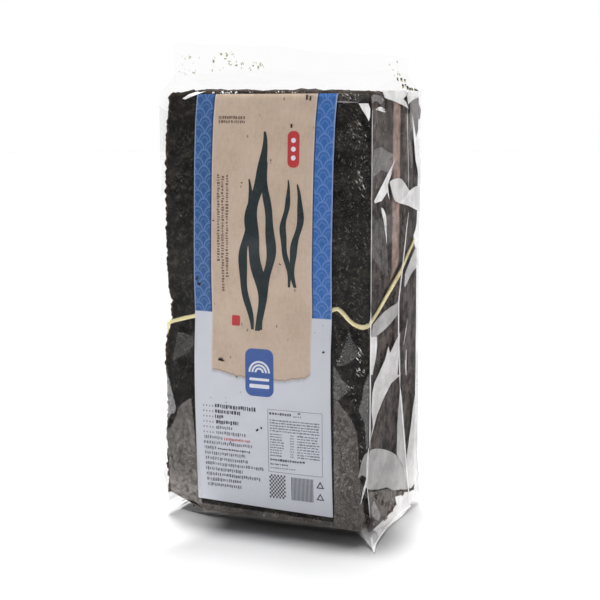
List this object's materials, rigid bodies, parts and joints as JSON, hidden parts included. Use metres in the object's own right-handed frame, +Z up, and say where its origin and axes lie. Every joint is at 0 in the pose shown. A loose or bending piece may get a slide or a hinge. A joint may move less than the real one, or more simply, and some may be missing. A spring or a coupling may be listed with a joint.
{
  "type": "bagged stack of folded nori sheets",
  "caption": "Upright clear side-gusseted film bag round a stack of folded nori sheets, with a long paper label on the front and a thin straw tie round the waist.",
  "frame": {"origin": "centre of the bag's outline on the floor, under its base", "axes": "+Z up, the label faces -Y, +X to the right of the label"},
  "size_m": [0.12, 0.099, 0.232],
  "materials": {
    "nori_in_film": "dark green-black sheets under clear glossy film",
    "paper": "printed matt paper in kraft, pale lilac and blue",
    "straw": "pale yellow straw"
  },
  "bodies": {
    "root": {"bag": "nori_in_film", "label": "paper", "tie": "straw"}
  },
  "joints": []
}
